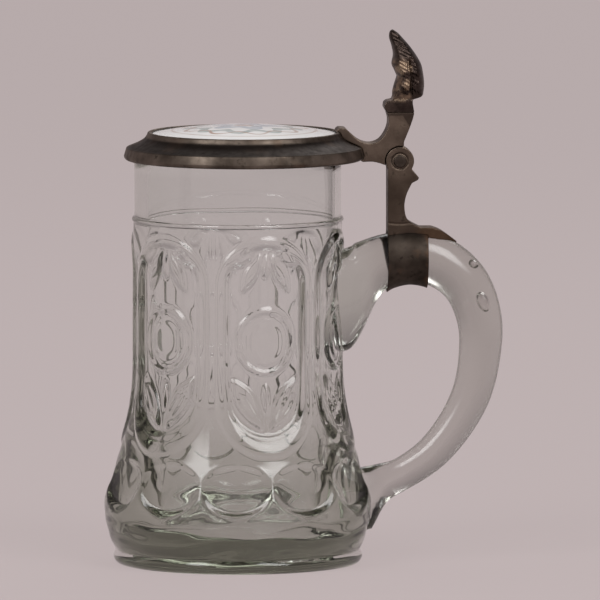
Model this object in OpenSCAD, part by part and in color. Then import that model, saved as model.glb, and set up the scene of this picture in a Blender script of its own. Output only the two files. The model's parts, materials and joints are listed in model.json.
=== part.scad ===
// Half-litre pressed glass stein with an applied handle and a hinged pewter lid with a porcelain inlay.
// Millimetres. Z is up, the foot rests on Z = 0, the body's axis is Z, and the handle and hinge lie towards +X.

/* [Body] */
// Height from the resting face to the rim
body_h = 154; // [148:1:160]
// Outer radius of the plain neck band
neck_r = 38.8; // [37.6:0.1:39]
// Outer radius of the panelled part
belly_r = 39.2; // [39:0.1:40]
// Height at which the body starts to flare towards the shoulder
flare_z = 78; // [74:0.5:84]
// Radius of the concave flare
flare_r = 127; // [115:1:140]
// Outer radius of the shoulder, the widest place
shoulder_r = 50.1; // [49:0.1:51]
// Rounding above the shoulder
shoulder_round = 20; // [16:0.5:24]
// Rounding below the shoulder
under_round = 38; // [34:0.5:46]
// Outer radius of the foot ring
foot_r = 46.7; // [45.8:0.1:47.4]
// Rounding of the foot ring
foot_round = 2.8; // [2.4:0.1:3]
// Glass thickness at the rim
wall = 3.8; // [3.2:0.1:4.4]
// Narrowing of the inside from rim to floor, on the radius
draft = 2; // [1:0.1:3]
// Thickness of the floor
floor_t = 14; // [12:0.5:18]
// Rounding between wall and floor inside
floor_round = 7; // [5:0.5:10]
// Radius of the hollow under the foot
kick_r = 38; // [30:0.5:40]
// Depth of the hollow under the foot
kick_h = 2.4; // [1:0.1:3]
// Distance of the ridge below the rim
ridge_drop = 24.5; // [22:0.5:27]
// Radius of the ridge bead
ridge_bead = 0.9; // [0.6:0.05:1.2]

/* [Pressed pattern] */
// Number of arched panels
panel_n = 6; // [4:1:6]
// Direction of the first panel, in degrees from the handle
panel_phase = -78; // [-82:1:-74]
// Half width of a panel over its frame
panel_half = 18.8; // [17.5:0.1:19]
// Width of the panel frame at the sides and the top
frame_w = 4.3; // [3.8:0.1:5]
// Height of the panel's lowest point
panel_low = 42.7; // [41:0.1:45]
// Extra width of the frame at the bottom
frame_foot = 4.4; // [3:0.1:6]
// Depth of the panel's ground below the frame
panel_depth = 1.1; // [0.6:0.1:1.5]
// Width of the line around the frame
line_w = 0.9; // [0.6:0.1:1.2]
// Depth of the line around the frame
line_depth = 0.6; // [0.3:0.1:0.9]
// Half width of the medallion
medal_w = 9.4; // [8:0.1:10]
// Half height of the medallion's straight sides
medal_rise = 1.2; // [0.6:0.1:2]
// Width of the medallion's ring
ring_w = 1.6; // [1.2:0.1:2]
// Number of thumbprints
thumb_n = 11; // [8:1:12]
// Depth of a thumbprint
thumb_depth = 1.8; // [1:0.1:2]
// Radius of the scoop of a thumbprint
thumb_r = 25; // [20:1:30]
// Height of the thumbprint centres above the shoulder
thumb_rise = 9; // [8:0.5:11]

/* [Handle] */
// Distance from the body to the middle of the rod at its farthest
handle_reach = 52; // [50:0.5:56]
// Half thickness of the rod at the top
rod_top = 9.6; // [9:0.1:10]
// Half thickness of the rod at the lower end
rod_low = 5.8; // [5.2:0.1:6.6]
// Width of the rod as a share of its thickness
rod_flat = 0.92; // [0.8:0.01:1]
// Length of the drop that runs down the body at the upper root
upper_drop = 19.5; // [14:0.5:21]
// Length of the drop that runs down the body at the lower root
lower_drop = 12.4; // [8:0.2:13]

/* [Strap and hinge] */
// Thickness of the strap
strap_t = 1; // [0.7:0.1:1.4]
// Width of the strap along the handle
strap_w = 15.2; // [12:0.2:16]
// Gap between the strap and the glass
strap_fit = 0.15; // [0.05:0.05:0.3]
// Height of the hinge axis below the rim
hinge_drop = 2.9; // [2:0.1:3.4]
// Distance of the hinge axis from the lid's edge
hinge_gap = 13.2; // [12.8:0.1:14]
// Radius of the post's ears
knuckle_r = 5.3; // [5:0.05:5.6]
// Width of the hinge over both ears
hinge_w = 11; // [10:0.2:12]
// Thickness of one ear
ear_t = 3.2; // [2.8:0.1:3.4]
// Side clearance of the middle knuckle, each side
side_gap = 0.35; // [0.3:0.05:0.5]
// Clearance between knuckles and the metal they turn past
swing_gap = 0.35; // [0.3:0.05:0.5]
// Radius of the pin
pin_r = 1.8; // [1.5:0.05:2]
// Radial clearance of the pin in the middle knuckle
pin_fit = 0.06; // [0.03:0.01:0.09]
// Radius of the pin's heads
head_r = 2.6; // [2.4:0.05:2.8]
// Thickness of the pin's heads
head_t = 0.7; // [0.5:0.1:1]
// Height of the post from the handle's middle line to the hinge axis
post_h = 36.3; // [35.6:0.1:37]

/* [Lid] */
// Overhang of the lid over the neck
lid_over = 6.2; // [5.8:0.1:6.8]
// Offset of the lid's middle from the body's axis, towards the hinge
lid_shift = 2.4; // [1.6:0.1:2.6]
// Gap between the closed lid and the rim
lid_gap = 0.3; // [0.2:0.05:0.6]
// Depth of the skirt below the rim
skirt_drop = 2.7; // [2:0.1:3]
// Height of the skirt
skirt_h = 4.8; // [4.2:0.1:5.4]
// Thickness of the skirt
skirt_t = 2.8; // [2.2:0.1:3]
// Height of the bezel above the skirt
bezel_rise = 5.7; // [5.2:0.1:6.2]
// Radius of the visible porcelain
inlay_r = 34.4; // [33.4:0.1:34.8]
// Width of the bezel's lip over the porcelain
lip_w = 0.8; // [0.5:0.1:1]
// Rise of the porcelain's crown above its edge
crown_h = 3; // [2:0.1:4]
// Thickness of the porcelain at its edge
inlay_t = 2.8; // [2:0.1:3]
// Gap around the porcelain
inlay_gap = 0.15; // [0.1:0.05:0.3]
// Half width of the thumblift's shell
shell_half = 8; // [6.5:0.1:9]

/* [Hidden] */
$fn = 96;

bore_r = neck_r - wall;
ridge_z = body_h - ridge_drop;
panel_top = ridge_z - 3.4;
medal_z = (panel_low + panel_top) / 2 + 2;
flare_mid = belly_r + flare_r;
shoulder_mid = shoulder_r - shoulder_round;
shoulder_z = flare_z - sqrt(pow(flare_r + shoulder_round, 2) - pow(flare_mid - shoulder_mid, 2));
flare_turn = atan2(flare_z - shoulder_z, flare_mid - shoulder_mid);
groove_z = 2 * foot_round - 0.2;
thumb_z = shoulder_z + thumb_rise;

lid_r = neck_r + lid_over;
seat_z = body_h + lid_gap;
skirt_z = seat_z - skirt_drop;
skirt_top = skirt_z + skirt_h;
bezel_z = skirt_top + bezel_rise;
inlay_z = bezel_z - 0.6;
hinge_x = lid_shift + lid_r + hinge_gap;
hinge_z = body_h - hinge_drop;
tongue_w = hinge_w - 2 * (ear_t + side_gap);
inner_knuckle_r = knuckle_r - 0.25;
grip_z = hinge_z - post_h;

rod_sides = 20;
rod_steps = 4;
// The rod's middle line, as shares of the handle's reach from the body and of its height above the shoulder
ROD = [[-0.06, 0.915], [0.11, 0.947], [0.32, 0.988], [0.52, 1.001], [0.73, 0.968], [0.9, 0.882], [0.99, 0.753],
       [1, 0.623], [0.95, 0.46], [0.83, 0.32], [0.65, 0.196], [0.44, 0.117], [0.28, 0.09], [0.06, 0.07]];
rod_last = len(ROD) - 1;
// The stretch of the middle line that the strap is cut from, which reaches past both of the strap's edges
strap_from = 1.6;
strap_step = 0.24;
strap_steps = 14;
strap_to = strap_from + strap_steps * strap_step;
// Distance of the strap's inner edge from the hinge axis
strap_lead = 4.7;
shell_steps = 40;

function arc(c, r, a0, a1, n) = [for (i = [0:n]) let (a = a0 + (a1 - a0) * i / n) c + r * [cos(a), sin(a)]];

// Smooth curve through the points p, n steps to a stretch
function pick(p, i) = p[max(0, min(len(p) - 1, i))];
function bend(a, b, c, d, t) =
    (2 * b + (c - a) * t + (2 * a - 5 * b + 4 * c - d) * t * t + (3 * b - a - 3 * c + d) * t * t * t) / 2;
function along(p, s) = let (i = min(floor(s), len(p) - 2))
    bend(pick(p, i - 1), p[i], p[i + 1], pick(p, i + 2), s - i);
function spline(p, n) = [for (i = [0:n * (len(p) - 1)]) along(p, i / n)];

// Outside of the body from the foot ring up to the rim, set back by the depth d
function flank(d) = concat(
    arc([shoulder_mid, shoulder_z], shoulder_round - d, 0, flare_turn, 5),
    arc([flare_mid, flare_z], flare_r + d, 180 + flare_turn, 180, 12),
    [[belly_r - d, ridge_z - ridge_bead]]);
function outside() = concat(
    arc([foot_r - foot_round, foot_round], foot_round, -90, 55, 8),
    arc([shoulder_r - under_round, shoulder_z], under_round, -asin((shoulder_z - groove_z) / under_round), -3, 6),
    flank(0),
    arc([belly_r - 0.3, ridge_z], ridge_bead, -60, 60, 6),
    [[neck_r, ridge_z + ridge_bead]]);
function inside() = concat(
    arc([bore_r + wall / 2, body_h - wall / 2], wall / 2, 0, 180, 12),
    arc([bore_r - draft - floor_round, floor_t + floor_round], floor_round, 0, -90, 8),
    [[0, floor_t]]);

module blank() {
    rotate_extrude()
        polygon(concat([[0, 0]], outside(), [[neck_r, body_h + 5], [0, body_h + 5]]));
}

module core(d) {
    rotate_extrude()
        polygon(concat([[0, shoulder_z]], flank(d), [[0, ridge_z - ridge_bead]]));
}

module radial(turn) {
    rotate([0, 0, turn])
        rotate([90, 0, 90])
            children();
}

module upright(half, low, top) {
    translate([0, low + half])
        circle(half);
    translate([0, top - half])
        circle(half);
    translate([-half, low + half])
        square([2 * half, top - low - 2 * half]);
}

module leaf(x, z, turn, length, width) {
    r = (length * length + width * width) / (4 * width);
    translate([x, z])
        rotate(turn)
            translate([0, length / 2])
                intersection() {
                    translate([r - width / 2, 0])
                        circle(r);
                    translate([width / 2 - r, 0])
                        circle(r);
                }
}

module medallion(grow) {
    upright(medal_w + grow, medal_z - medal_w - medal_rise - grow, medal_z + medal_w + medal_rise + grow);
}

module foliage() {
    crest = panel_top - frame_w - 1.2;
    root = panel_low + frame_w + frame_foot + 2;
    leaf(0, crest - 1, 180, 10, 3.4);
    for (side = [-1, 1]) {
        leaf(side * 1.8, crest - 0.6, 180 + side * 26, 16, 4.4);
        leaf(side * 3.8, crest - 0.4, 180 + side * 58, 9.5, 3.6);
        leaf(side * 1.6, root, -side * 30, 23, 7.6);
    }
    leaf(0, root + 6, 0, 12, 3.2);
}

module panel_ground() {
    difference() {
        upright(panel_half - frame_w, panel_low + frame_w + frame_foot, panel_top - frame_w);
        difference() {
            medallion(ring_w);
            medallion(0);
        }
        foliage();
    }
}

module panel_line() {
    difference() {
        upright(panel_half, panel_low, panel_top);
        upright(panel_half - line_w, panel_low + line_w, panel_top - line_w);
    }
}

// The pattern is left off the two places where the handle sticks to the body
module root_pads() {
    radial(0)
        linear_extrude(70) {
            upright(13, grip_z - 38, grip_z + 7);
            upright(10, 4, shoulder_z + 20);
        }
}

module pressed() {
    for (i = [0:panel_n - 1])
        radial(panel_phase + 360 * i / panel_n) {
            translate([0, 0, 30])
                linear_extrude(25)
                    panel_ground();
        }
}

module lines() {
    for (i = [0:panel_n - 1])
        radial(panel_phase + 360 * i / panel_n) {
            translate([0, 0, 30])
                linear_extrude(25)
                    panel_line();
        }
}

module thumbprints() {
    surface_r = flare_mid - sqrt(flare_r * flare_r - pow(flare_z - thumb_z, 2));
    for (i = [0:thumb_n - 1])
        rotate([0, 0, panel_phase + 180 / thumb_n + 360 * i / thumb_n])
            translate([surface_r - thumb_depth + thumb_r, 0, thumb_z])
                rotate([90, 0, 0])
                    cylinder(r = thumb_r, h = 2 * shoulder_r * tan(180 / thumb_n) + 4, center = true);
}

module glass_body() {
    color([0.8, 0.85, 0.82, 0.6])
        difference() {
            rotate_extrude()
                polygon(concat([[0, kick_h], [kick_r - 2, kick_h], [kick_r, 0]], outside(), inside()));
            difference() {
                pressed();
                core(panel_depth);
                root_pads();
            }
            difference() {
                lines();
                core(line_depth);
                root_pads();
            }
            difference() {
                thumbprints();
                root_pads();
            }
        }
}

// Share of the root's spread at the distance d from the body
function spread(d, reach, power) = 1 / (1 + pow(max(d, 0) / reach, power));

// A section of the rod: middle, tilt, half thickness and half width
function section(s) =
    let (p = along(ROD, s))
    let (q = along(ROD, min(s + 0.05, rod_last)) - along(ROD, max(s - 0.05, 0)))
    let (tall = grip_z - shoulder_z)
    let (x = belly_r + handle_reach * p[0])
    let (z = shoulder_z + tall * p[1])
    let (tilt = atan2(q[1] * tall, q[0] * handle_reach))
    let (turn = tilt > 60 ? tilt - 360 : tilt)
    let (up = s < 6 ? spread(x - belly_r - 0.8, 6.4, 4) : 0)
    let (low = s > 8 ? spread(x - shoulder_r + 0.1, 3, 2) : 0)
    let (half = rod_top + (rod_low - rod_top) * max(0, min(1, (s - 4) / 7)))
    let (drop = (upper_drop * up + lower_drop * low) / 2)
    [x, z - drop, turn * (1 - up) * (1 - low) - 180 * low, half + drop, half * rod_flat + 2.4 * up + 1.6 * low];

function rib(c, grow) = [for (k = [0:rod_sides - 1]) let (a = 360 * k / rod_sides)
    [c[0] - (c[3] + grow) * cos(a) * sin(c[2]), (c[4] + grow) * sin(a), c[1] + (c[3] + grow) * cos(a) * cos(c[2])]];

function ribs(from, to, n, grow) = [for (i = [0:n]) each rib(section(from + (to - from) * i / n), grow)];

function skin(n) = [for (i = [0:n - 1], k = [0:rod_sides - 1])
    let (j = (k + 1) % rod_sides)
    let (a = i * rod_sides)
    [a + k, a + j, a + rod_sides + j, a + rod_sides + k]];

// The rod between two places on its middle line, thicker by grow
module rod(from, to, n, grow) {
    polyhedron(
        ribs(from, to, n, grow),
        concat([[for (k = [0:rod_sides - 1]) rod_sides - 1 - k]], skin(n),
               [[for (k = [0:rod_sides - 1]) n * rod_sides + k]]));
}

module glass_rod(grow) {
    rod(0, rod_last, rod_steps * rod_last, grow);
}

module glass_handle() {
    color([0.82, 0.86, 0.84, 0.6])
        difference() {
            glass_rod(0);
            blank();
        }
}

// The stretch of the handle that the strap goes round, thicker by grow
module strap_rod(grow) {
    intersection() {
        rod(strap_from, strap_to, strap_steps, grow);
        translate([hinge_x - strap_lead, -20, grip_z - 30])
            cube([strap_w, 40, 60]);
    }
}

module handle_strap() {
    color([0.2, 0.18, 0.17])
        difference() {
            strap_rod(strap_fit + strap_t);
            rod(strap_from, strap_to, strap_steps, strap_fit);
        }
}

// Places a drawing of the hinge plane, with the hinge axis at its origin
module hinge_plane(width) {
    translate([hinge_x, 0, hinge_z])
        rotate([90, 0, 0])
            linear_extrude(width, center = true)
                children();
}

module post_side() {
    foot = grip_z + rod_top - hinge_z;
    polygon(concat(
        [[-4.5, -1], [3.5, -1], [4.4, -3]],
        [[7.2, -6.3], [6.7, -7.2]],
        spline([[4.5, -8.3], [2.4, -12.8], [1.7, -17.5], [3, -22.2], [7.8, foot + 1.6]], 5),
        spline([[12.3, foot + 1.6], [16, foot + 0.1], [21.7, foot - 4]], 4),
        [[21.2, foot - 5], [12, foot - 6], [-4.5, foot - 6]]));
}

// The post's outline from above: straight, then a leaf's point over the tail
module post_plan() {
    side = 12;
    r = side + hinge_w / 2;
    edge = concat([[-10, -hinge_w / 2]], arc([10, side], r, -90, -asin(side / r), 8));
    polygon(concat(edge, [for (i = [len(edge) - 2:-1:0]) [edge[i][0], -edge[i][1]]]));
}

module hinge_post() {
    color([0.3, 0.27, 0.25])
        difference() {
            union() {
                hinge_plane(hinge_w)
                    circle(knuckle_r);
                intersection() {
                    hinge_plane(hinge_w)
                        post_side();
                    translate([hinge_x, 0, grip_z - 10])
                        linear_extrude(60)
                            post_plan();
                }
            }
            hinge_plane(hinge_w - 2 * ear_t)
                circle(inner_knuckle_r + swing_gap);
            hinge_plane(hinge_w + 2)
                circle(pin_r);
            glass_rod(strap_fit);
            strap_rod(strap_fit + strap_t);
        }
}

module hinge_pin() {
    color([0.22, 0.2, 0.19])
        translate([hinge_x, 0, hinge_z])
            rotate([90, 0, 0])
                rotate_extrude()
                    polygon(concat(
                        [[0, -hinge_w / 2 - head_t], [head_r - 0.5, -hinge_w / 2 - head_t], [head_r, -hinge_w / 2]],
                        [[pin_r, -hinge_w / 2], [pin_r, hinge_w / 2]],
                        [[head_r, hinge_w / 2], [head_r - 0.5, hinge_w / 2 + head_t], [0, hinge_w / 2 + head_t]]));
}

// Outside of the lid ring from its lower edge to the bezel's lip
function lid_outside() = concat(
    [[lid_r - skirt_t, skirt_z + 0.5]],
    arc([lid_r - 1.5, skirt_z + 1.5], 1.5, -110, 5, 6),
    arc([lid_r - 1.5, skirt_top - 0.8], 0.8, 5, 65, 3),
    spline([[lid_r - 6.5, skirt_top + 2.4], [lid_r - 8, skirt_top + 3.4], [lid_r - 8.6, bezel_z - 0.8]], 3),
    arc([inlay_r + 1.1, bezel_z - 0.8], 0.8, 20, 150, 5));

module lid_blank() {
    translate([lid_shift, 0, 0])
        rotate_extrude()
            polygon(concat([[0, skirt_z + 0.5]], lid_outside(), [[inlay_r, bezel_z - 0.4], [0, bezel_z - 0.4]]));
}

module lid_ring() {
    rebate = inlay_r + lip_w + inlay_gap;
    color([0.36, 0.33, 0.3])
        translate([lid_shift, 0, 0])
            rotate_extrude()
                polygon(concat(
                    lid_outside(),
                    [[inlay_r, bezel_z - 0.4], [inlay_r, inlay_z + inlay_gap], [rebate, inlay_z - 0.5]],
                    [[rebate, inlay_z - inlay_t - inlay_gap], [rebate - 3, inlay_z - inlay_t - inlay_gap]],
                    [[rebate - 3, seat_z], [lid_r - skirt_t, seat_z]]));
}

module porcelain_inlay() {
    rim = inlay_r - 0.15;
    ball = (rim * rim + crown_h * crown_h) / (2 * crown_h);
    color([0.93, 0.92, 0.9])
        translate([lid_shift, 0, inlay_z])
            rotate_extrude()
                polygon(concat(
                    [[0, -inlay_t], [rim + lip_w, -inlay_t], [rim + lip_w, -0.6], [rim, -0.1]],
                    arc([0, crown_h - ball], ball, asin((ball - crown_h) / ball), 90, 16)));
}

module arm_side() {
    polygon(concat(
        [[-23.8, 7], [-23.8, 11.7], [-22.8, 12.5]],
        spline([[-20.4, 12.4], [-18.2, 10.2], [-14.9, 7.6], [-11, 6.6], [-7.3, 8], [-4.8, 11.9], [-4.2, 15.5],
                [-4.9, 18.2]], 4),
        [[5.4, 18.2], [4.9, 16], [3.7, 12.6], [1.5, 7.2]],
        [[1.5, 0], [-4.9, -1.8]],
        spline([[-7.2, -0.9], [-10.2, -0.2], [-14, -0.3]], 3),
        [[-17, 2]]));
}

module lid_arm() {
    color([0.33, 0.3, 0.27])
        difference() {
            union() {
                difference() {
                    hinge_plane(hinge_w)
                        arm_side();
                    hinge_plane(hinge_w + 2)
                        circle(knuckle_r + swing_gap);
                }
                hinge_plane(tongue_w) {
                    circle(inner_knuckle_r);
                    intersection() {
                        arm_side();
                        circle(knuckle_r + 3);
                    }
                }
            }
            hinge_plane(hinge_w + 2)
                circle(pin_r + pin_fit);
            lid_blank();
        }
}

module lift_side() {
    polygon(concat(
        [[-4.9, 18.2]],
        spline([[-5.9, 20], [-5.6, 21.8], [-4.4, 22.6]], 3),
        [[-2.6, 22.9]],
        spline([[-2.6, 26], [-1.9, 28.7], [-0.9, 31.7]], 3),
        spline([[-2.2, 34.6], [-2.9, 36.4], [-2.3, 39.8], [-3, 43.5], [-3.8, 46.1], [-3.5, 48.4], [-2.3, 49.1]], 3),
        spline([[-0.4, 47.8], [4.1, 42.7], [7.4, 37.8], [8.6, 34.8], [9.4, 29], [9, 24.6]], 4),
        [[8.2, 24], [4.8, 23], [4.8, 21.5], [5.4, 18.2]]));
}

// Half width of the shell at the share t of its height
function shell_w(t) = 0.8 + shell_half * sin(28 + 152 * t) * (1 - 0.09 * abs(sin(900 * t)));

// The shell's outline seen from the lid: a pointed fan with scalloped edges
module lift_front() {
    polygon(concat(
        [for (i = [0:shell_steps]) let (t = i / shell_steps) [-shell_w(t), 22.4 + 28 * t]],
        [for (i = [0:shell_steps]) let (t = 1 - i / shell_steps) [shell_w(t), 22.4 + 28 * t]]));
}

module thumblift() {
    color([0.26, 0.21, 0.17])
        intersection() {
            hinge_plane(40)
                lift_side();
            union() {
                translate([hinge_x - 30, 0, hinge_z])
                    rotate([90, 0, 90])
                        linear_extrude(60)
                            lift_front();
                translate([hinge_x - 30, -hinge_w / 2, hinge_z + 17])
                    cube([60, hinge_w, 5.9]);
            }
        }
}

glass_body();
glass_handle();
handle_strap();
hinge_post();
hinge_pin();
lid_arm();
thumblift();
lid_ring();
porcelain_inlay();
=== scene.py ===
"""Looks of a lidded pressed glass stein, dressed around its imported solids.

Lengths are in millimetres until a mesh is made; meshes are in metres, in the solids' own frame.
"""

import json
import math

import bpy
import numpy as np
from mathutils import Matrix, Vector


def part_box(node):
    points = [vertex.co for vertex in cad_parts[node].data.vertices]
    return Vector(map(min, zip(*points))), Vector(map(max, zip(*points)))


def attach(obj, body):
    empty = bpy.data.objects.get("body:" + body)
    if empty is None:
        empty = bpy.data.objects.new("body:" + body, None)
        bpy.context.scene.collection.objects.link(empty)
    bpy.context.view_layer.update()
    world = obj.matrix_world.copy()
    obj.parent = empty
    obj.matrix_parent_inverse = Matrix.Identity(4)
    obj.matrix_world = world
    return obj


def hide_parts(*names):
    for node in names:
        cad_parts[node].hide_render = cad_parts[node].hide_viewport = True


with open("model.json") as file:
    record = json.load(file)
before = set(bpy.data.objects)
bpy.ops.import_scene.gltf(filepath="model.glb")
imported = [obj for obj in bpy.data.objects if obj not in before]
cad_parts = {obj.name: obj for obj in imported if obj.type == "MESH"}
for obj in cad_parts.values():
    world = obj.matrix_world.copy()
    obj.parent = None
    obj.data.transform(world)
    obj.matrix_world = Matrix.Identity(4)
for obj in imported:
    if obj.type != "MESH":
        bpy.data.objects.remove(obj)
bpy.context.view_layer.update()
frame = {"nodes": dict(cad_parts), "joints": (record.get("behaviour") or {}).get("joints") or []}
scene = bpy.context.scene
MM = 0.001

# Places taken from the frame
body_high = np.array(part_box("glass_body")[1]) / MM
ring_low, ring_high = (np.array(corner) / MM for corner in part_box("lid_ring"))
strap_low, strap_high = (np.array(corner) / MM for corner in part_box("handle_strap"))
post_low, post_high = (np.array(corner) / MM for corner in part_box("hinge_post"))
HINGE = np.array(frame["joints"][0]["pos_m"]) / MM
BODY_H = body_high[2]
SHOULDER_R = body_high[1]
LID_R = ring_high[1]
LID_X = (ring_low[0] + ring_high[0]) / 2
SKIRT_Z = ring_low[2]
BEZEL_Z = ring_high[2]
HINGE_W = post_high[1] - post_low[1]

# The porcelain and its seat in the lid
INLAY_R = 34.4
INLAY_Z = BEZEL_Z - 0.6
INLAY_T = 2.8
INLAY_GAP = 0.15
CROWN = 3.0
LIP_W = 0.8

# The glass blank
NECK_R = 38.8
BELLY_R = 39.2
FLARE_Z = 78.0
FLARE_R = 127.0
SHOULDER_ROUND = 20.0
UNDER_ROUND = 38.0
FOOT_R = 46.7
FOOT_ROUND = 2.8
WALL = 3.8
DRAFT = 2.0
FLOOR_T = 14.0
FLOOR_ROUND = 7.0
KICK_R = 38.0
KICK_H = 2.4
RIDGE_Z = BODY_H - 24.5
RIDGE_BEAD = 0.9
FLARE_MID = BELLY_R + FLARE_R
SHOULDER_MID = SHOULDER_R - SHOULDER_ROUND
SHOULDER_Z = FLARE_Z - math.sqrt((FLARE_R + SHOULDER_ROUND) ** 2 - (FLARE_MID - SHOULDER_MID) ** 2)
FLARE_TURN = math.degrees(math.atan2(FLARE_Z - SHOULDER_Z, FLARE_MID - SHOULDER_MID))
GROOVE_Z = 2 * FOOT_ROUND - 0.2
BORE_R = NECK_R - WALL

# The pressed pattern
PANELS = 6
PANEL_PHASE = -78.0
PANEL_HALF = 18.8
PANEL_LOW = 42.7
PANEL_TOP = RIDGE_Z - 3.4
FRAME_W = 4.3
FRAME_FOOT = 4.4
MEDAL_W = 9.4
MEDAL_RISE = 1.2
MEDAL_Z = (PANEL_LOW + PANEL_TOP) / 2 + 2
RING_W = 1.9
THUMBS = 11
THUMB_Z = SHOULDER_Z + 9
THUMB_A = 13.9
THUMB_B = 9.4
THUMB_DEPTH = 1.9
SEAMS = 3
COLUMNS = 384
INNER_COLUMNS = COLUMNS // 3

# The handle
HANDLE_REACH = 52.0
ROD_TOP = 9.6
ROD_LOW = 5.8
ROD_FLAT = 0.92
# How far each root of the handle hangs down, widens to each side and reaches along the rod
UPPER_DROP = 19.5
UPPER_WIDEN = 2.4
UPPER_REACH = 6.4
LOWER_DROP = 12.4
LOWER_WIDEN = 1.6
LOWER_REACH = 3
GRIP_Z = HINGE[2] - 36.3
ROD_SIDES = 64
ROD_RINGS = 130
ROD = np.array([
    (-0.06, 0.915), (0.11, 0.947), (0.32, 0.988), (0.52, 1.001), (0.73, 0.968), (0.9, 0.882), (0.99, 0.753),
    (1, 0.623), (0.95, 0.46), (0.83, 0.32), (0.65, 0.196), (0.44, 0.117), (0.28, 0.09), (0.06, 0.07)])
STRAP_FIT = 0.15
STRAP_T = 1.0
# The stretch of the rod that the strap is cut from
STRAP_FROM, STRAP_TO = 1.6, 4
# Air bubbles: x, z, turn in degrees, half width, half length and half depth
BUBBLES = [(87.2, 110.7, 125, 1.3, 1.9, 1.2), (91.3, 97.5, 158, 1.7, 3.9, 1.4)]


def arc(x, z, r, start, end, steps):
    turn = np.radians(np.linspace(start, end, steps + 1))
    return np.column_stack([x + r * np.cos(turn), z + r * np.sin(turn)])


def straight(a, b, steps):
    share = np.linspace(0, 1, steps + 1)[:, None]
    return np.array(a) * (1 - share) + np.array(b) * share


def mesh_object(name, points, faces):
    mesh = bpy.data.meshes.new(name)
    mesh.from_pydata((np.asarray(points) * MM).tolist(), [], faces)
    mesh.update()
    piece = bpy.data.objects.new(name, mesh)
    scene.collection.objects.link(piece)
    return piece


def ring_faces(first, second, count):
    """Quads between two rings of equal count, given by the index of their first points."""
    turn = [(k + 1) % count for k in range(count)]
    return [(first + k, first + turn[k], second + turn[k], second + k) for k in range(count)]


def bake(piece):
    """Applies the piece's modifiers."""
    evaluated = piece.evaluated_get(bpy.context.evaluated_depsgraph_get())
    mesh = bpy.data.meshes.new_from_object(evaluated)
    piece.modifiers.clear()
    piece.data = mesh
    return piece


def combine(piece, other, operation):
    cut = piece.modifiers.new("combine", "BOOLEAN")
    cut.solver = "MANIFOLD"
    cut.operation = operation
    cut.object = other
    bake(piece)
    bpy.data.objects.remove(other)
    return piece


def smooth_by_angle(piece, degrees):
    mesh = piece.data
    mesh.polygons.foreach_set("use_smooth", [True] * len(mesh.polygons))
    mesh.set_sharp_from_angle(angle=math.radians(degrees))
    return piece


def dress(piece, body, slot, material, *nodes):
    piece.data.materials.clear()
    piece.data.materials.append(material)
    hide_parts(*nodes)
    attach(piece, body)
    return piece


# Relief of the pressed pattern

def fall(distance, width):
    """1 inside an outline, 0 outside it, over a soft edge of that width."""
    t = np.clip(0.5 - distance / width, 0, 1)
    return t * t * (3 - 2 * t)


def stadium(u, v, half, low, top):
    """Signed distance to an upright with round ends."""
    return np.hypot(u, v - np.clip(v, low + half, top - half)) - half


def leaf(u, v, x, z, turn, length, width):
    """A pointed leaf with a raised edge and midrib, from 0 outside it to 1 on the rib."""
    c, s = math.cos(math.radians(turn)), math.sin(math.radians(turn))
    lengthwise = -(u - x) * s + (v - z) * c
    across = (u - x) * c + (v - z) * s
    share = np.clip(lengthwise / length, 0, 1)
    half = np.maximum(width / 2 * (1 - (2 * share - 1) ** 2), 0.01)
    inset = half - np.abs(across)
    vein = np.exp(-((across / 1.0) ** 2))
    edge = np.exp(-(((inset - 1.1) / 0.9) ** 2))
    return fall(0.3 - inset, 0.9) * (0.3 + 0.7 * np.maximum(vein, edge))


def foliage(u, v):
    crest = PANEL_TOP - FRAME_W - 1.2
    root = PANEL_LOW + FRAME_W + FRAME_FOOT + 2
    leaves = [(0, crest - 1, 180, 10, 3.4), (0, root + 6, 0, 12, 3.2)]
    for side in (-1, 1):
        leaves.append((side * 1.8, crest - 0.6, 180 + side * 26, 17, 5.2))
        leaves.append((side * 3.8, crest - 0.4, 180 + side * 58, 10.5, 4.2))
        leaves.append((side * 1.6, root, -side * 30, 23, 8.2))
    return np.max([leaf(u, v, *one) for one in leaves], axis=0)


def panel(u, v):
    """Height of one arched panel over the plain wall."""
    outer = stadium(u, v, PANEL_HALF, PANEL_LOW, PANEL_TOP)
    inner = stadium(u, v, PANEL_HALF - FRAME_W, PANEL_LOW + FRAME_W + FRAME_FOOT, PANEL_TOP - FRAME_W)
    groove = 0.7 * np.exp(-((outer / 0.7) ** 2))
    band = 0.75 * np.sqrt(np.clip(1 - (2 * (outer + FRAME_W / 2) / (FRAME_W + FRAME_FOOT / 2)) ** 2, 0, 1))
    ground = fall(inner, 1.3)
    medal = stadium(u, v, MEDAL_W, MEDAL_Z - MEDAL_W - MEDAL_RISE, MEDAL_Z + MEDAL_W + MEDAL_RISE)
    bead = np.sqrt(np.clip(1 - (2 * (medal - RING_W / 2) / RING_W) ** 2, 0, 1))
    lens = np.clip(-medal / MEDAL_W, 0, 1)
    dish = fall(medal, 0.6) * (0.75 - 0.9 * (1 - lens) ** 2)
    dish += 0.3 * np.exp(-(((medal + 2.6) / 0.9) ** 2))
    inside = -1.05 + 1.2 * bead + dish + 1.3 * foliage(u, v) * (medal > RING_W)
    return band * (1 - ground) - groove + inside * ground


def thumbprint(u, v):
    rho = np.hypot(u / THUMB_A, (v - THUMB_Z) / THUMB_B)
    rim = 0.25 * np.exp(-(((rho - 1) / 0.07) ** 2))
    facet = np.clip(1 - (u / THUMB_A) ** 2, 0, 1) * fall(rho - 0.95, 0.16)
    upright = 1 - 0.7 * np.clip((v - THUMB_Z) / THUMB_B, -1, 1)
    return rim - THUMB_DEPTH * upright * facet


def turned(angle, first, count):
    """Angle from the nearest of count directions, in radians."""
    step = 2 * math.pi / count
    return (angle - math.radians(first) + step / 2) % step - step / 2


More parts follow.
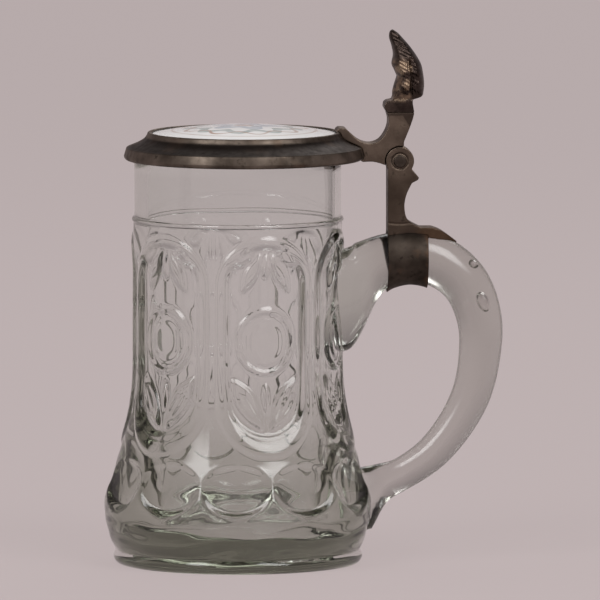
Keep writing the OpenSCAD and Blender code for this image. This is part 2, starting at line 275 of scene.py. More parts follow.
def waves(angle, z, seed, height):
    """Gentle unevenness of moulded glass."""
    draw = np.random.default_rng(seed)
    total = np.zeros(np.broadcast(angle, z).shape)
    for turns in (2, 3, 5, 7):
        total += np.sin(turns * angle + draw.uniform(0, 6.3) + z / draw.uniform(9, 22)) / turns
    return height * total


def base_swell(angle, z):
    """Drawn-out unevenness of the thick base."""
    zone = fall(z - SHOULDER_Z, 8) * (1 - fall(z - FOOT_ROUND / 2, FOOT_ROUND))
    rings = np.sin(0.9 * z + 1.5 * np.sin(2 * angle) + np.sin(5 * angle))
    bumps = 0.1 * np.sin(9 * angle + 1.3 * np.sin(z / 3)) + 0.08 * np.sin(14 * angle - z / 2)
    return zone * (0.1 * rings + bumps)


def bore_swell(angle, z):
    """The bore's unevenness: the wall is thicker away from the handle."""
    return waves(angle, z, 8, 0.14) + waves(angle, 2.5 * z, 5, 0.05) - 0.8 * np.cos(angle)


def relief(angle, radius, z):
    near = turned(angle, PANEL_PHASE, PANELS)
    pattern = panel(radius * np.sin(near), z)
    dip = turned(angle, PANEL_PHASE + 180 / THUMBS, THUMBS)
    pattern = np.where(z < PANEL_LOW + 1, 0, pattern) + thumbprint(radius * np.sin(dip), z)
    seam = turned(angle, PANEL_PHASE - 180 / PANELS, SEAMS) * radius
    return pattern + 0.16 * np.exp(-((seam / 0.35) ** 2))


def outer_profile():
    """Outside from the resting ring up to the rim."""
    dive = math.degrees(math.asin((SHOULDER_Z - GROOVE_Z) / UNDER_ROUND))
    return np.vstack([
        arc(FOOT_R - FOOT_ROUND, FOOT_ROUND, FOOT_ROUND, -90, 55, 9),
        arc(SHOULDER_R - UNDER_ROUND, SHOULDER_Z, UNDER_ROUND, -dive, 0, 16),
        arc(SHOULDER_MID, SHOULDER_Z, SHOULDER_ROUND, 0, FLARE_TURN, 11)[1:],
        arc(FLARE_MID, FLARE_Z, FLARE_R, 180 + FLARE_TURN, 180, 70)[1:],
        straight((BELLY_R, FLARE_Z), (BELLY_R, RIDGE_Z - RIDGE_BEAD), 62)[1:],
        arc(BELLY_R - 0.3, RIDGE_Z, RIDGE_BEAD, -60, 60, 8),
        straight((NECK_R, RIDGE_Z + RIDGE_BEAD), (NECK_R, BODY_H - WALL / 2), 16),
        arc(NECK_R - WALL / 2, BODY_H - WALL / 2, WALL / 2, 0, 180, 14)[1:]])


def inner_profile():
    """Inside from below the rim down to the middle of the floor."""
    low_r = BORE_R - DRAFT
    return np.vstack([
        straight((BORE_R, BODY_H - WALL / 2), (BORE_R, RIDGE_Z), 9)[1:],
        straight((BORE_R, RIDGE_Z), (low_r, FLOOR_T + FLOOR_ROUND), 31)[1:],
        arc(low_r - FLOOR_ROUND, FLOOR_T + FLOOR_ROUND, FLOOR_ROUND, 0, -90, 12)[1:],
        straight((low_r - FLOOR_ROUND, FLOOR_T), (2, FLOOR_T), 6)[1:]])


def outward(profile):
    """Unit normals of a profile, to the right of its direction."""
    step = np.gradient(profile, axis=0)
    normal = np.column_stack([step[:, 1], -step[:, 0]])
    return normal / np.linalg.norm(normal, axis=1)[:, None]


def around(profile, columns, heights):
    """Points of a profile turned about the axis and moved out by the heights along its normals."""
    angle = np.linspace(0, 2 * math.pi, columns, endpoint=False)
    moved = profile[:, None, :] + heights[:, :, None] * outward(profile)[:, None, :]
    flat = [moved[..., 0] * np.cos(angle), moved[..., 0] * np.sin(angle), moved[..., 1]]
    return np.stack(flat, axis=-1).reshape(-1, 3)


def fan(fine, coarse, count, flip):
    """Faces between a fine ring and one with a third of its points."""
    faces = []
    for k in range(count):
        a = [fine + (3 * k + i) % (3 * count) for i in range(4)]
        b = [coarse + k, coarse + (k + 1) % count]
        three = [(a[0], a[1], b[0]), (a[1], a[2], b[1], b[0]), (a[2], a[3], b[1])]
        faces += [face[::-1] for face in three] if flip else three
    return faces


def glass_vessel():
    outer = outer_profile()
    angle = np.linspace(0, 2 * math.pi, COLUMNS, endpoint=False)[None, :]
    height, radius = outer[:, 1][:, None], outer[:, 0][:, None]
    patterned = (height > SHOULDER_Z - 4) & (height < RIDGE_Z - RIDGE_BEAD)
    pressed = np.where(patterned, relief(angle, radius, height), 0)
    for axis in (0, 1):
        pressed = (np.roll(pressed, 1, axis) + 2 * pressed + np.roll(pressed, -1, axis)) / 4
    heights = pressed + base_swell(angle, height)
    heights += waves(angle, height, 3, 0.07) * (1 - fall(height - FOOT_ROUND, FOOT_ROUND))
    points = [around(outer, COLUMNS, heights)]
    faces = []
    for row in range(len(outer) - 1):
        faces += ring_faces(row * COLUMNS, (row + 1) * COLUMNS, COLUMNS)
    inner = inner_profile()
    calm = np.linspace(0, 2 * math.pi, INNER_COLUMNS, endpoint=False)[None, :]
    points.append(around(inner, INNER_COLUMNS, bore_swell(calm, inner[:, 1][:, None])))
    start = len(outer) * COLUMNS
    faces += fan(start - COLUMNS, start, INNER_COLUMNS, False)
    for row in range(len(inner) - 1):
        faces += ring_faces(start + row * INNER_COLUMNS, start + (row + 1) * INNER_COLUMNS, INNER_COLUMNS)
    middle = start + len(inner) * INNER_COLUMNS
    last = middle - INNER_COLUMNS
    points.append(np.array([[0, 0, FLOOR_T]]))
    faces += [(last + k, last + (k + 1) % INNER_COLUMNS, middle) for k in range(INNER_COLUMNS)]
    dome = np.radians(np.linspace(0, 80, 9))
    under = np.column_stack([KICK_R * np.cos(dome), KICK_H * np.sin(dome)])
    points.append(around(under, INNER_COLUMNS, np.zeros((len(under), INNER_COLUMNS))))
    below = middle + 1
    faces += fan(0, below, INNER_COLUMNS, True)
    for row in range(len(under) - 1):
        ring = ring_faces(below + row * INNER_COLUMNS, below + (row + 1) * INNER_COLUMNS, INNER_COLUMNS)
        faces += [face[::-1] for face in ring]
    hub = below + len(under) * INNER_COLUMNS
    last = hub - INNER_COLUMNS
    points.append(np.array([[0, 0, KICK_H]]))
    faces += [(last + (k + 1) % INNER_COLUMNS, last + k, hub) for k in range(INNER_COLUMNS)]
    return mesh_object("glass", np.vstack(points), faces)


# The handle's rod

def along(s):
    """Point of the smooth curve through the rod's points, at the place s."""
    i = min(int(s), len(ROD) - 2)
    a, b, c, d = (ROD[max(0, min(len(ROD) - 1, i + k))] for k in (-1, 0, 1, 2))
    t = s - i
    square, cube = 2 * a - 5 * b + 4 * c - d, 3 * b - a - 3 * c + d
    return (2 * b + (c - a) * t + square * t ** 2 + cube * t ** 3) / 2


def spread(distance, reach, power):
    return 1 / (1 + (max(distance, 0) / reach) ** power)


def rod_section(s):
    """Middle, tilt, half thickness and half width of the rod at the place s."""
    tall = GRIP_Z - SHOULDER_Z
    here = along(s)
    step = along(min(s + 0.05, len(ROD) - 1)) - along(max(s - 0.05, 0))
    x = BELLY_R + HANDLE_REACH * here[0]
    z = SHOULDER_Z + tall * here[1]
    tilt = math.degrees(math.atan2(step[1] * tall, step[0] * HANDLE_REACH))
    turn = tilt - 360 if tilt > 60 else tilt
    up = spread(x - BELLY_R - 0.8, UPPER_REACH, 4) if s < 6 else 0
    low = spread(x - SHOULDER_R + 0.1, LOWER_REACH, 2) if s > 8 else 0
    half = ROD_TOP + (ROD_LOW - ROD_TOP) * max(0, min(1, (s - 4) / 7))
    drop = (UPPER_DROP * up + LOWER_DROP * low) / 2
    tilted = math.radians(turn * (1 - up) * (1 - low) - 180 * low)
    wide = half * ROD_FLAT + UPPER_WIDEN * up + LOWER_WIDEN * low
    return x, z - drop, tilted, half + drop, wide


def rod_rings(first, last, rings, sides, grow):
    around_rod = np.linspace(0, 2 * math.pi, sides, endpoint=False)
    points = []
    for s in np.linspace(first, last, rings):
        x, z, tilt, high, wide = rod_section(s)
        lift = (high + grow) * np.cos(around_rod)
        points.append(np.column_stack([
            x - lift * math.sin(tilt), (wide + grow) * np.sin(around_rod), z + lift * math.cos(tilt)]))
    return np.vstack(points)


def glass_rod():
    points = rod_rings(0, len(ROD) - 1, ROD_RINGS, ROD_SIDES, 0)
    faces = [tuple(range(ROD_SIDES))]
    for row in range(ROD_RINGS - 1):
        faces += ring_faces((row + 1) * ROD_SIDES, row * ROD_SIDES, ROD_SIDES)
    faces.append(tuple(range(len(points) - ROD_SIDES, len(points)))[::-1])
    return mesh_object("rod", points, faces)


def bubble(x, z, turn, across, length, depth):
    """An air bubble in the rod, a closed egg."""
    rings, sides = 16, 24
    cosine, sine = math.cos(turn), math.sin(turn)
    rows = [(math.sin(math.pi * i / rings), math.cos(math.pi * i / rings)) for i in range(1, rings)]
    points = []
    for wide, high in rows:
        for k in range(sides):
            swing = 2 * math.pi * k / sides
            a, b, c = across * wide * math.cos(swing), depth * wide * math.sin(swing), length * high
            points.append((x + a * cosine + c * sine, b, z - a * sine + c * cosine))
    faces = []
    for row in range(len(rows) - 1):
        faces += [face[::-1] for face in ring_faces(row * sides, (row + 1) * sides, sides)]
    faces.append(tuple(range(sides)))
    faces.append(tuple(range(len(points) - sides, len(points)))[::-1])
    return mesh_object("bubble", points, faces)


# Turned and cast pieces

# How near a turned piece's surface comes to its axis
POLE_R = 0.01


def lathe(name, profile, columns, x):
    """A closed profile turned about the upright axis at x."""
    points = around(profile, columns, np.zeros((len(profile), columns)))
    points[:, 0] += x
    faces = []
    for row in range(len(profile)):
        faces += ring_faces(row * columns, (row + 1) % len(profile) * columns, columns)
    return mesh_object(name, points, faces)


def lid_ring():
    skirt_top = SKIRT_Z + 4.8
    seat_z = SKIRT_Z + 2.7
    bore = LID_R - 2.8
    hem, bead = 1.5, 0.8
    rebate = INLAY_R + LIP_W + INLAY_GAP
    ledge = rebate - 3
    floor_z = INLAY_Z - INLAY_T - INLAY_GAP
    cavetto = np.array([
        (LID_R - 4.6, skirt_top + 1.35), (LID_R - 6.5, skirt_top + 2.4), (LID_R - 7.6, skirt_top + 3.2),
        (LID_R - 8.3, skirt_top + 4.1), (LID_R - 8.7, BEZEL_Z - bead)])
    profile = np.vstack([
        [(bore, SKIRT_Z + 0.5)],
        arc(LID_R - hem, SKIRT_Z + hem, hem, -110, 5, 10),
        arc(LID_R - hem, skirt_top - bead, bead, 5, 65, 6),
        cavetto,
        arc(INLAY_R + 1.1, BEZEL_Z - bead, bead, 20, 150, 10),
        [(INLAY_R, BEZEL_Z - 0.4), (INLAY_R, INLAY_Z + INLAY_GAP), (rebate, INLAY_Z - 0.5)],
        [(rebate, floor_z), (ledge, floor_z), (ledge, seat_z), (bore, seat_z)]])
    return smooth_by_angle(lathe("lid_ring_metal", profile, 256, LID_X), 35)


def porcelain():
    rim = INLAY_R - INLAY_GAP
    low_z = INLAY_Z - INLAY_T
    ball = (rim ** 2 + CROWN ** 2) / (2 * CROWN)
    reach = math.degrees(math.asin((ball - CROWN) / ball))
    profile = np.vstack([
        [(POLE_R, low_z), (rim + LIP_W, low_z), (rim + LIP_W, INLAY_Z - 0.6), (rim, INLAY_Z - 0.1)],
        arc(0, INLAY_Z + CROWN - ball, ball, reach, 90, 30)[:-1],
        [(POLE_R, INLAY_Z + CROWN)]])
    return smooth_by_angle(lathe("porcelain_dome", profile, 192, LID_X), 35)


def cast(name, node, voxel, passes):
    """A casting with softened edges, from a copy of its solid."""
    piece = bpy.data.objects.new(name, frame["nodes"][node].data.copy())
    scene.collection.objects.link(piece)
    weld = piece.modifiers.new("weld", "WELD")
    weld.merge_threshold = 0.001 * MM
    soften(piece, voxel, passes)
    return piece


def soften(piece, voxel, passes):
    remesh = piece.modifiers.new("remesh", "REMESH")
    remesh.mode = "VOXEL"
    remesh.voxel_size = voxel * MM
    worn = piece.modifiers.new("worn", "SMOOTH")
    worn.factor = 0.5
    worn.iterations = passes
    bake(piece)
    return smooth_by_angle(piece, 180)


def strap():
    rings, sides = 60, 64
    outer = rod_rings(STRAP_FROM, STRAP_TO, rings, sides, STRAP_FIT + STRAP_T)
    inner = rod_rings(STRAP_FROM, STRAP_TO, rings, sides, STRAP_FIT)
    faces = []
    for row in range(rings - 1):
        faces += ring_faces((row + 1) * sides, row * sides, sides)
        faces += ring_faces((rings + row) * sides, (rings + row + 1) * sides, sides)
    last = (rings - 1) * sides
    faces += ring_faces(0, rings * sides, sides)
    faces += ring_faces(rings * sides + last, last, sides)
    band = mesh_object("strap_metal", np.vstack([outer, inner]), faces)
    half_w, half_h = 25, 30
    spans = [(strap_low[0], strap_high[0]), (-half_w, half_w), (GRIP_Z - half_h, GRIP_Z + half_h)]
    box = [(x, y, z) for x in spans[0] for y in spans[1] for z in spans[2]]
    sides_of_box = [(0, 1, 3, 2), (4, 6, 7, 5), (0, 4, 5, 1), (2, 3, 7, 6), (0, 2, 6, 4), (1, 5, 7, 3)]
    combine(band, mesh_object("strap_cut", box, sides_of_box), "INTERSECT")
    return soften(band, 0.22, 3)


def pin():
    half = HINGE_W / 2
    head = np.vstack([
        [(POLE_R, half + 0.7)],
        arc(1.9, half + 0.2, 0.5, 90, 0, 6),
        [(2.4, half + 0.02), (1.75, half + 0.02)]])
    profile = np.vstack([head, (head * (1, -1))[::-1]])
    piece = lathe("pin_metal", profile[::-1], 48, 0)
    for vertex in piece.data.vertices:
        x, y, z = vertex.co / MM
        vertex.co = Vector((x + HINGE[0], -z, y + HINGE[2])) * MM
    return smooth_by_angle(piece, 40)


def from_hinge(piece):
    """Places of a piece's points in millimetres from the hinge's middle."""
    places = np.empty(len(piece.data.vertices) * 3)
    piece.data.vertices.foreach_get("co", places)
    return places.reshape(-1, 3) / MM - HINGE


def move_to(piece, places):
    piece.data.vertices.foreach_set("co", ((places + HINGE) * MM).ravel())
    piece.data.update()
    return piece


def facing(piece):
    """How far each point of a casting faces sideways, from -1 to 1."""
    normals = np.empty(len(piece.data.vertices) * 3)
    piece.data.vertices.foreach_get("normal", normals)
    sideways = normals.reshape(-1, 3)[:, 1]
    return np.sign(sideways) * np.clip((np.abs(sideways) - 0.6) / 0.3, 0, 1)


def post():
    """The post, with a ring sunk round the pin and lines cut across its foot."""
    piece = cast("post_metal", "hinge_post", 0.26, 4)
    places = from_hinge(piece)
    x, z = places[:, 0], places[:, 2]
    ring = 0.5 * np.exp(-(((np.hypot(x, z) - 2.8) / 0.4) ** 2))
    line = 0.35 * np.exp(-(((z + 23.6 - 0.02 * x ** 2) / 0.35) ** 2)) * (x < 6)
    places[:, 1] -= facing(piece) * np.maximum(ring, line)
    return move_to(piece, places)


def knob(x, z, middle_x, middle_z, wide, high):
    return np.exp(-(((x - middle_x) / wide) ** 2) - ((z - middle_z) / high) ** 2)


# Lumps of the thumblift, from the hinge: share of the full height, x, z, half width and half height
LUMPS = [
    (1, 0.7, 35.9, 2.4, 3), (1, 1.5, 27.4, 2.4, 3.6), (0.6, 3.4, 31.2, 1, 1.3),
    (0.5, 5.4, 25.6, 0.7, 1.8), (0.4, 7.2, 27.2, 0.8, 1.2)]


def thumblift():
    """The cast shell: the solid drawn round, with a lumpy front, a groove and a fluted back."""
    piece = cast("thumblift_metal", "thumblift", 0.28, 4)
    places = from_hinge(piece)
    x, y, z = places.T
    bands = 79
    levels = np.linspace(z.min(), z.max(), bands + 1)
    slot = np.digitize(z, levels[1:-1])
    spans = [(x[slot == i].min(), x[slot == i].max(), np.abs(y[slot == i]).max()) for i in range(bands)]
    front, back, wide = (np.interp(z, levels[:-1], column) for column in np.array(spans).T)
    middle = (front + back) / 2
    shell = np.clip((z - 23.5) / 3, 0, 1)
    share = np.clip(np.abs(y) / np.maximum(wide, 1), 0, 1)
    rounded = middle + (x - middle) * (1 - shell * (1 - np.sqrt(1 - 0.7 * share ** 2)))
    lumps = sum(share_out * knob(x, z, *place) for share_out, *place in LUMPS)
    grain = 0.18 * np.sin(2.7 * x + 1.9 * z) * np.sin(2.3 * z - 1.4 * x)
    groove = np.exp(-(((x - 4.4) / 0.7) ** 2)) * np.clip((39 - z) / 2, 0, 1)
    flutes = 0.25 * np.cos(1.9 * z + 0.8 * x) * np.clip((x - 5) / 2, 0, 1)
    relief_out = shell * (0.9 * lumps + grain - 0.7 * groove + flutes) - (1 - shell) * 0.3 * np.abs(grain)
    return move_to(piece, np.column_stack([rounded, y + np.sign(y) * share * relief_out, z]))


# Materials

def new_material(name):
    material = bpy.data.materials.new(name)
    material.use_nodes = True
    nodes = material.node_tree.nodes
    return material, nodes, material.node_tree.links, nodes["Principled BSDF"]


def maths(nodes, links, operation, a, b=0):
    node = nodes.new("ShaderNodeMath")
    node.operation = operation
    for socket, value in zip(node.inputs, (a, b)):
        if isinstance(value, (int, float)):
            socket.default_value = value
        else:
            links.new(value, socket)
    return node.outputs["Value"]


def object_axes(nodes, links):
    """The object's own x, y and z, in millimetres."""
    scale = nodes.new("ShaderNodeVectorMath")
    scale.operation = "SCALE"
    scale.inputs["Scale"].default_value = 1 / MM
    links.new(nodes.new("ShaderNodeTexCoord").outputs["Object"], scale.inputs[0])
    split = nodes.new("ShaderNodeSeparateXYZ")
    links.new(scale.outputs["Vector"], split.inputs["Vector"])
    return [split.outputs[axis] for axis in "XYZ"]


def rise(nodes, links, value, start, end):
    """0 below the start, 1 above the end, softly between."""
    node = nodes.new("ShaderNodeMapRange")
    node.interpolation_type = "SMOOTHSTEP"
    node.inputs["From Min"].default_value = start
    node.inputs["From Max"].default_value = end
    links.new(value, node.inputs["Value"])
    return node.outputs["Result"]


def between(nodes, links, value, low, high, soft):
    up = rise(nodes, links, value, low - soft, low + soft)
    down = rise(nodes, links, value, high - soft, high + soft)
    return maths(nodes, links, "SUBTRACT", up, down)


def tinted(nodes, links, share, under, over):
    """The colour over laid on the colour under, by a share."""
    mix = nodes.new("ShaderNodeMix")
    mix.data_type = "RGBA"
    links.new(share, mix.inputs["Factor"])
    for socket, colour in ((mix.inputs["A"], under), (mix.inputs["B"], over)):
        if isinstance(colour, tuple):
            socket.default_value = (*colour, 1)
        else:
            links.new(colour, socket)
    return mix.outputs["Result"]


def noise(nodes, links, scale, detail, stretch=1):
    """Clouds; with a stretch above 1 they are drawn out level."""
    place = nodes.new("ShaderNodeTexCoord")
    mapping = nodes.new("ShaderNodeMapping")
    mapping.inputs["Scale"].default_value = (1, 1, stretch)
    links.new(place.outputs["Object"], mapping.inputs["Vector"])
    texture = nodes.new("ShaderNodeTexNoise")
    texture.inputs["Scale"].default_value = scale
    texture.inputs["Detail"].default_value = detail
    links.new(mapping.outputs["Vector"], texture.inputs["Vector"])
    return texture.outputs["Fac"]


def ramp(nodes, links, value, *stops):
    band = nodes.new("ShaderNodeValToRGB")
    stones = band.color_ramp.elements
    while len(stones) < len(stops):
        stones.new(0.5)
    for stone, (position, colour) in zip(stones, stops):
        stone.position = position
        stone.color = (*colour, 1) if isinstance(colour, tuple) else (colour, colour, colour, 1)
    links.new(value, band.inputs["Fac"])
    return band.outputs["Color"]


def bump(nodes, links, shader, value, distance, strength):
    node = nodes.new("ShaderNodeBump")
    node.inputs["Distance"].default_value = distance * MM
    node.inputs["Strength"].default_value = strength
    links.new(value, node.inputs["Height"])
    links.new(node.outputs["Normal"], shader.inputs["Normal"])


# Colours of the pressed body and of the drawn handle, which is tinted darker as painted shade, the handle's
# haze, and the tint in the glass's depth
PRESSED_GLASS = (0.99, 1.0, 1.0)
HANDLE_GLASS_SHADED = (0.88, 0.865, 0.86)
DRAWN_HAZE = 0.15
GLASS_TINT = (0.785, 0.794, 0.759, 1)
GLASS_DENSITY = 80


def glass_material():
    """Grey-green glass, clear in the pressed body and slightly hazy in the drawn handle, whose glass is
    tinted darker as painted shade.
    """
    material, nodes, links, shader = new_material("pressed_glass")
    shader.inputs["Transmission Weight"].default_value = 1
    shader.inputs["IOR"].default_value = 1.52
    drawn = rise(nodes, links, object_axes(nodes, links)[0], BELLY_R + 4, BELLY_R + 16)
    # The handle's glass is tinted darker than the body's: painted shade
    links.new(tinted(nodes, links, drawn, PRESSED_GLASS, HANDLE_GLASS_SHADED), shader.inputs["Base Color"])
    links.new(maths(nodes, links, "MULTIPLY", drawn, DRAWN_HAZE), shader.inputs["Roughness"])
    bump(nodes, links, shader, noise(nodes, links, 90, 0), 0.05, 0.25)
    tint = nodes.new("ShaderNodeVolumeAbsorption")
    tint.inputs["Color"].default_value = GLASS_TINT
    tint.inputs["Density"].default_value = GLASS_DENSITY
    links.new(tint.outputs["Volume"], nodes["Material Output"].inputs["Volume"])
    return material


# Tarnish keeps the metal's edge-on reflections down
EDGE_TINT = (0.8, 0.78, 0.77, 1)


def pewter_material(name, dark, light, roughness, stains_and_painted_light=None):
    """Aged cast metal; stains_and_painted_light, where given, changes its colour from place to place:
    stains, and on some pieces painted shade and painted highlights.
    """
    material, nodes, links, shader = new_material(name)
    shader.inputs["Metallic"].default_value = 1
    shader.inputs["Specular Tint"].default_value = EDGE_TINT
    cloud = noise(nodes, links, 110, 8)
    colour = ramp(nodes, links, cloud, (0.34, dark), (0.66, light))
    pits = rise(nodes, links, noise(nodes, links, 420, 6), 0.58, 0.76)
    colour = tinted(nodes, links, pits, colour, tuple(0.6 * part for part in dark))
    # Stains, and on some pieces painted shade and painted highlights
    if stains_and_painted_light:
        colour = stains_and_painted_light(nodes, links, colour)
    links.new(colour, shader.inputs["Base Color"])
    grain = noise(nodes, links, 420, 8)
    links.new(ramp(nodes, links, grain, (0.3, roughness - 0.1), (0.75, roughness + 0.14)),
              shader.inputs["Roughness"])
    bump(nodes, links, shader, noise(nodes, links, 700, 6), 0.06, 0.4)
    return material


def strap_finish(nodes, links, colour):
    """Rust-brown stains, thickest along the band's two edges."""
    x = object_axes(nodes, links)[0]
    middle = between(nodes, links, x, strap_low[0] + 1.2, strap_high[0] - 1.2, 1.2)
    stain = rise(nodes, links, noise(nodes, links, 130, 6), 0.4, 0.68)
    share = maths(nodes, links, "SUBTRACT", stain, maths(nodes, links, "MULTIPLY", middle, 0.55))
    return tinted(nodes, links, maths(nodes, links, "MAXIMUM", share, 0), colour, (0.105, 0.062, 0.04))


def lid_patina_stains_and_shade(nodes, links, colour):
    """Dark patina and painted shade in the hollow above the skirt, and brown stains."""
    z = object_axes(nodes, links)[2]
    # The hollow is darkened nearly to black: dark patina together with painted shade
    hollow_patina_and_shade = between(nodes, links, z, SKIRT_Z + 4.6, BEZEL_Z - 1.9, 0.4)
    share = maths(nodes, links, "MULTIPLY", hollow_patina_and_shade, 0.92)
    colour = tinted(nodes, links, share, colour, (0.02, 0.016, 0.014))
    stain = rise(nodes, links, noise(nodes, links, 60, 5), 0.55, 0.75)
    return tinted(nodes, links, maths(nodes, links, "MULTIPLY", stain, 0.6), colour, (0.1, 0.062, 0.04))


def lift_painted_highlights(nodes, links, colour):
    """Brass-brown painted highlights, in patches, on the lumpy front."""
    x, _, z = object_axes(nodes, links)
    front = maths(nodes, links, "SUBTRACT", 1, rise(nodes, links, x, HINGE[0] + 3.4, HINGE[0] + 4.8))
    height = between(nodes, links, z, HINGE[2] + 22.5, HINGE[2] + 38, 1)
    # Patches of painted highlight in brass-brown on the front of the lumps
    highlight_patches = rise(nodes, links, noise(nodes, links, 330, 5), 0.38, 0.62)
    share = maths(nodes, links, "MULTIPLY", maths(nodes, links, "MULTIPLY", front, height), highlight_patches)
    return tinted(nodes, links, share, colour, (0.23, 0.165, 0.115))


def hinge_tones_and_shade(nodes, links, colour):
    """Darker below the hinge, brown where the post meets the strap, and a V of painted shade under the
    thumblift.
    """
    x, _, z = object_axes(nodes, links)
    below = maths(nodes, links, "SUBTRACT", 1, rise(nodes, links, z, HINGE[2] - 9, HINGE[2] - 3))
    share = maths(nodes, links, "MULTIPLY", below, 0.47)
    colour = tinted(nodes, links, share, colour, (0.03, 0.021, 0.015))
    tail = rise(nodes, links, x, HINGE[0] + 4, HINGE[0] + 10)
    low = maths(nodes, links, "SUBTRACT", 1, rise(nodes, links, z, HINGE[2] - 27, HINGE[2] - 23))
    share = maths(nodes, links, "MULTIPLY", maths(nodes, links, "MULTIPLY", tail, low), 0.6)
    colour = tinted(nodes, links, share, colour, (0.11, 0.065, 0.038))
    # A V of painted shade under the thumblift
    past = maths(nodes, links, "MAXIMUM", maths(nodes, links, "SUBTRACT", x, HINGE[0] + 1.1), 0)
    steep = maths(nodes, links, "ADD", z, maths(nodes, links, "MULTIPLY", past, 1.6))
    shade_under_lift = rise(nodes, links, steep, HINGE[2] + 16.6, HINGE[2] + 17.4)
    return tinted(nodes, links, maths(nodes, links, "MULTIPLY", shade_under_lift, 0.7), colour, (0.04, 0.029, 0.024))


def porcelain_material():
    """White glaze with a worn painted rosette in a wreath."""
    material, nodes, links, shader = new_material("glazed_porcelain")
    x, y, z = object_axes(nodes, links)
    x = maths(nodes, links, "SUBTRACT", x, LID_X)
    x_square, y_square = (maths(nodes, links, "MULTIPLY", axis, axis) for axis in (x, y))
    r = maths(nodes, links, "SQRT", maths(nodes, links, "ADD", x_square, y_square))
    turn = maths(nodes, links, "ARCTAN2", y, x)

    def lobes(count, reach):
        swing = maths(nodes, links, "COSINE", maths(nodes, links, "MULTIPLY", turn, count))
        return maths(nodes, links, "MULTIPLY", swing, reach)

    def ring(radius, low, high):
        return between(nodes, links, radius, low, high, 0.4)

    petals = ring(maths(nodes, links, "SUBTRACT", r, lobes(5, 3)), 3.5, 11)
    wreath = ring(maths(nodes, links, "ADD", r, lobes(9, 2.6)), 15.5, 20.5)
    berries = ring(maths(nodes, links, "SUBTRACT", r, lobes(9, 2.6)), 20.2, 22)
    hoop = ring(r, 26.6, 27.6)
    heart = ring(r, -1, 3.6)
    worn = ramp(nodes, links, noise(nodes, links, 130, 6), (0.3, 0.35), (0.65, 0.95))
    worn = maths(nodes, links, "MULTIPLY", worn, rise(nodes, links, z, BEZEL_Z - 2.2, BEZEL_Z - 1.2))
    cloud = noise(nodes, links, 40, 4)
    glaze = ramp(nodes, links, cloud, (0.3, (0.76, 0.755, 0.745)), (0.7, (0.84, 0.83, 0.82)))
    paints = [(wreath, (0.25, 0.33, 0.31)), (petals, (0.29, 0.37, 0.44)), (berries, (0.4, 0.27, 0.2)),
              (hoop, (0.48, 0.38, 0.32)), (heart, (0.36, 0.23, 0.16))]
    colour = glaze
    for shape, paint in paints:
        colour = tinted(nodes, links, maths(nodes, links, "MULTIPLY", shape, worn), colour, paint)
    links.new(colour, shader.inputs["Base Color"])
    shader.inputs["Roughness"].default_value = 0.14
    shader.inputs["Coat Weight"].default_value = 0.3
    bump(nodes, links, shader, noise(nodes, links, 90, 3), 0.05, 0.2)
    return material


# The stage

BACKDROP = (0.52, 0.446, 0.446, 1)
# Brightness of the backdrop by the sine of the height above the horizon, where it meets the lamplit floor
CEILING = [(0, 0.91), (0.12, 0.8), (0.4, 0.6), (1, 0.3)]
# Share of the floor's brightness that is its own, beside what the lamps and shadows give it
FLOOR_GLOW = 0.85
# Half the floor's width in millimetres, and the strength of the plain light from all round
FLOOR_HALF = 9000
FILL = 0.35
SEEING_RAYS = ("Camera", "Glossy", "Transmission")


def backdrop(nodes, links, shader, glow_share, level=None):
    """Shows the same backdrop to the camera, to mirrors and through glass.

    Other rays see the shader given, which also keeps what the glow leaves of the seen light.
    """
    path = nodes.new("ShaderNodeLightPath")
    camera, glossy, through = (path.outputs[f"Is {kind} Ray"] for kind in SEEING_RAYS)
    seen = maths(nodes, links, "MAXIMUM", maths(nodes, links, "MAXIMUM", camera, glossy), through)
    glow = nodes.new("ShaderNodeEmission")
    glow.inputs["Color"].default_value = BACKDROP
    if level:
        links.new(level, glow.inputs["Strength"])
    mix = nodes.new("ShaderNodeMixShader")
    links.new(maths(nodes, links, "MULTIPLY", seen, glow_share), mix.inputs["Fac"])
    links.new(shader, mix.inputs[1])
    links.new(glow.outputs["Emission"], mix.inputs[2])
    return mix.outputs["Shader"]


def make_world():
    world = bpy.data.worlds.new("studio")
    scene.world = world
    world.use_nodes = True
    nodes, links = world.node_tree.nodes, world.node_tree.links
    plain = nodes["Background"]
    plain.inputs["Color"].default_value = (1, 1, 1, 1)
    plain.inputs["Strength"].default_value = FILL
    direction = nodes.new("ShaderNodeTexCoord").outputs["Generated"]
    axes = nodes.new("ShaderNodeSeparateXYZ")
    links.new(direction, axes.inputs["Vector"])
    level = ramp(nodes, links, axes.outputs["Z"], *CEILING)
    seen = backdrop(nodes, links, plain.outputs["Background"], 1, level)
    links.new(seen, nodes["World Output"].inputs["Surface"])


def make_floor():
    corners = [(FLOOR_HALF * x, FLOOR_HALF * y, 0) for x, y in ((-1, -1), (1, -1), (1, 1), (-1, 1))]
    floor = mesh_object("floor", corners, [(0, 1, 2, 3)])
    material, nodes, links, shader = new_material("pale_floor")
    shader.inputs["Base Color"].default_value = BACKDROP
    shader.inputs["Roughness"].default_value = 0.9
    shader.inputs["Specular IOR Level"].default_value = 0
    seen = backdrop(nodes, links, shader.outputs["BSDF"], FLOOR_GLOW)
    links.new(seen, nodes["Material Output"].inputs["Surface"])
    floor.data.materials.append(material)


def aim(thing, place, target):
    thing.location = place
    thing.rotation_euler = (Vector(target) - Vector(place)).to_track_quat("-Z", "Y").to_euler()


def place_around(target, azimuth, elevation, distance):
    """Point seen from the target at an azimuth and elevation; azimuth 0 is in front, towards -Y."""
    turn, height = math.radians(azimuth - 90), math.radians(elevation)
    level = math.cos(height)
    direction = Vector((level * math.cos(turn), level * math.sin(turn), math.sin(height)))
    return Vector(target) + distance * direction


